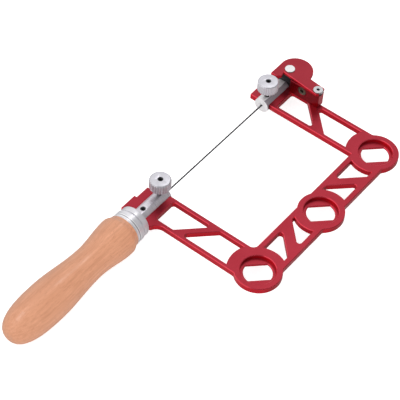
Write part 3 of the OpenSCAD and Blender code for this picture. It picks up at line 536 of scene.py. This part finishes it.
def make_crisp_shading():
    """Geometry nodes that shade smooth and keep every edge above the limit sharp."""
    group, w, taken, given = new_shape_group("crisp_shading")
    angle = w.node("GeometryNodeInputMeshEdgeAngle")
    over = w.node("FunctionNodeCompare", data_type="FLOAT", operation="GREATER_THAN")
    w.join(angle.outputs["Unsigned Angle"], over.inputs[0])
    over.inputs[1].default_value = math.radians(SHARP_ABOVE_DEGREES)
    shade = w.node("GeometryNodeSetMeshNormal", mode="SHARPNESS")
    shade.inputs["Remove Custom"].default_value = True
    w.join(taken, shade.inputs["Mesh"])
    w.join(over.outputs[0], shade.inputs["Edge Sharpness"])
    w.join(shade.outputs[0], given)
    return group


def make_outer_edges():
    """Geometry nodes that mark the outer edges for the chamfer and leave every inner corner."""
    group, w, taken, given = new_shape_group("outer_edges")
    angle = w.node("GeometryNodeInputMeshEdgeAngle")
    outer = w.math("GREATER_THAN", angle.outputs["Signed Angle"],
                   math.radians(CHAMFER_ABOVE_DEGREES))
    mark = w.node("GeometryNodeStoreNamedAttribute", data_type="FLOAT", domain="EDGE")
    mark.inputs["Name"].default_value = "bevel_weight_edge"
    w.join(taken, mark.inputs["Geometry"])
    w.join(outer, mark.inputs["Value"])
    w.join(mark.outputs["Geometry"], given)
    return group


CRISP_SHADING = make_crisp_shading()
OUTER_EDGES = make_outer_edges()


def break_edges(node, width_mm, milled, edge_highlight_finish=None):
    """Breaks a piece's outer edges: by one flat at full width if milled, else by a small round."""
    piece = saw_nodes[node]
    weld = piece.modifiers.new("weld", "WELD")
    weld.merge_threshold = WELD_DISTANCE
    flats = piece.modifiers.new("flats", "DECIMATE")
    flats.decimate_type = "DISSOLVE"
    flats.angle_limit = math.radians(FLAT_WITHIN_DEGREES)
    piece.modifiers.new("outer_edges", "NODES").node_group = OUTER_EDGES
    bevel = piece.modifiers.new("broken_edges", "BEVEL")
    bevel.width = width_mm * MM
    bevel.segments = 1 if milled else 2
    bevel.limit_method = "WEIGHT"
    bevel.miter_outer = "MITER_ARC"
    bevel.loop_slide = False
    bevel.use_clamp_overlap = not milled
    # The chamfer faces can take a finish of their own, here a painted highlight.
    if edge_highlight_finish:
        piece.data.materials.append(edge_highlight_finish)
        bevel.material = 1
    piece.modifiers.new("crisp_shading", "NODES").node_group = CRISP_SHADING


# Widths in millimetres
MILLED_CHAMFERS = {
    "frame": 0.42, "tension_lever": 0.35, "stop_block": 0.3, "ferrule": 0.3,
    "lever_pivot_screw": 0.25, "drive_pin": 0.25}
ROUNDED_EDGES = {
    "ferrule_ring": 0.15, "lower_clamp_rod": 0.35, "upper_clamp_rod": 0.35,
    "lower_clamp_knob": 0.12, "upper_clamp_knob": 0.12, "stop_screw": 0.2, "rod_yoke": 0.3,
    "lower_clamp_screw": 0.15, "upper_clamp_screw": 0.15, "rod_set_screw": 0.15,
    "ferrule_set_screw": 0.15, "yoke_screw": 0.15, "stop_block_screws": 0.15}
# Pieces whose chamfers get the painted highlight finish.
HIGHLIGHT_CHAMFERS = {"frame": red_edge_highlight, "tension_lever": red_edge_highlight}


def dress_nodes():
    for node, finish in FINISHES.items():
        for slot in saw_nodes[node].material_slots:
            slot.material = finish
    for node, width_mm in MILLED_CHAMFERS.items():
        break_edges(node, width_mm, True, HIGHLIGHT_CHAMFERS.get(node))
    for node, width_mm in ROUNDED_EDGES.items():
        break_edges(node, width_mm, False)


# Floor, light and background. What only mirrors see is kept apart from what lights the saw.

FLOOR_HALF = 6.0
FLOOR_GAP = 0.3 * MM
PAPER = (0.92, 0.92, 0.92)
PAPER_IN_MIRRORS = (0.52, 0.52, 0.52)
PAPER_GLOW = 0.66
PAPER_GLOW_IN_MIRRORS = 0.1


def make_floor():
    level = cad_box[0][2] - FLOOR_GAP
    mesh = bpy.data.meshes.new("studio_floor")
    corners = ((-1, -1), (1, -1), (1, 1), (-1, 1))
    mesh.from_pydata([(FLOOR_HALF * x, FLOOR_HALF * y, level) for x, y in corners], [],
                     [(0, 1, 2, 3)])
    floor = bpy.data.objects.new("studio_floor", mesh)
    bpy.context.collection.objects.link(floor)
    paper = bpy.data.materials.new("studio_paper")
    paper.use_nodes = True
    tree = paper.node_tree
    tree.nodes.clear()
    w = Wiring(tree)
    rays = w.node("ShaderNodeLightPath")
    glossy = rays.outputs["Is Glossy Ray"]
    lit = w.node("ShaderNodeBsdfDiffuse")
    w.join(w.mix(glossy, rgba(PAPER), rgba(PAPER_IN_MIRRORS)), lit.inputs["Color"])
    seen = w.math("MAXIMUM", rays.outputs["Is Camera Ray"], rays.outputs["Is Transmission Ray"])
    glow = w.node("ShaderNodeEmission")
    w.join(w.math("ADD", w.math("MULTIPLY", seen, PAPER_GLOW),
                  w.math("MULTIPLY", glossy, PAPER_GLOW_IN_MIRRORS)), glow.inputs["Strength"])
    both = w.node("ShaderNodeAddShader")
    w.join(lit.outputs[0], both.inputs[0])
    w.join(glow.outputs[0], both.inputs[1])
    out = w.node("ShaderNodeOutputMaterial")
    w.join(both.outputs[0], out.inputs[0])
    mesh.materials.append(paper)


SKY_FILL = 0.72
# Matt surfaces find the side toward -X and -Y brighter, mirrors find the side toward -Y dimmer
FILL_LIMITS = (-1.0, 0.6)
FILL_FACTORS = (1.65, 0.65)
MIRROR_LIMITS = (-0.25, 0.0)
MIRROR_STRENGTHS = (0.25, 1.0)


def make_sky():
    """White all round for the camera, shaded as above for what it lights."""
    world = bpy.data.worlds.new("studio_white")
    bpy.context.scene.world = world
    world.use_nodes = True
    tree = world.node_tree
    tree.nodes.clear()
    w = Wiring(tree)
    toward = w.node("ShaderNodeSeparateXYZ")
    w.join(w.node("ShaderNodeTexCoord").outputs["Generated"], toward.inputs[0])
    rays = w.node("ShaderNodeLightPath")
    glossy = rays.outputs["Is Glossy Ray"]
    mirrored = w.math(
        "MULTIPLY", glossy, w.spread(toward.outputs[1], *MIRROR_LIMITS, *MIRROR_STRENGTHS))
    fill_ends = [factor * SKY_FILL for factor in FILL_FACTORS]
    fill = w.spread(w.math("ADD", toward.outputs[0], toward.outputs[1]), *FILL_LIMITS, *fill_ends)
    scattered = w.math("MULTIPLY", w.math("SUBTRACT", 1.0, glossy), fill)
    seen = w.math("MAXIMUM", rays.outputs["Is Camera Ray"], rays.outputs["Is Transmission Ray"])
    light = w.node("ShaderNodeBackground")
    light.inputs["Color"].default_value = (1, 1, 1, 1)
    w.join(w.math("MAXIMUM", w.math("ADD", mirrored, scattered), seen), light.inputs["Strength"])
    out = w.node("ShaderNodeOutputWorld")
    w.join(light.outputs[0], out.inputs[0])


saw_middle = (Vector(cad_box[0]) + Vector(cad_box[1])) / 2


def add_softbox(name, from_middle, size, watts):
    """A rectangular lamp at a place measured from the saw's middle, turned toward it."""
    data = bpy.data.lights.new(name, "AREA")
    data.shape = "RECTANGLE"
    data.size, data.size_y = size
    data.energy = watts
    lamp = bpy.data.objects.new(name, data)
    place = saw_middle + Vector(from_middle)
    lamp.location = place
    lamp.rotation_euler = (saw_middle - place).to_track_quat("-Z", "Y").to_euler()
    bpy.context.collection.objects.link(lamp)


dress_nodes()
make_floor()
make_sky()
add_softbox("key_softbox", (-0.3, 0.4, 1.15), (0.45, 0.45), 2.3)
add_softbox("streak_softbox", (0.73, 0.17, 1.18), (0.3, 0.16), 0.9)
set_camera()

scene = bpy.context.scene
scene.view_settings.view_transform = "Standard"
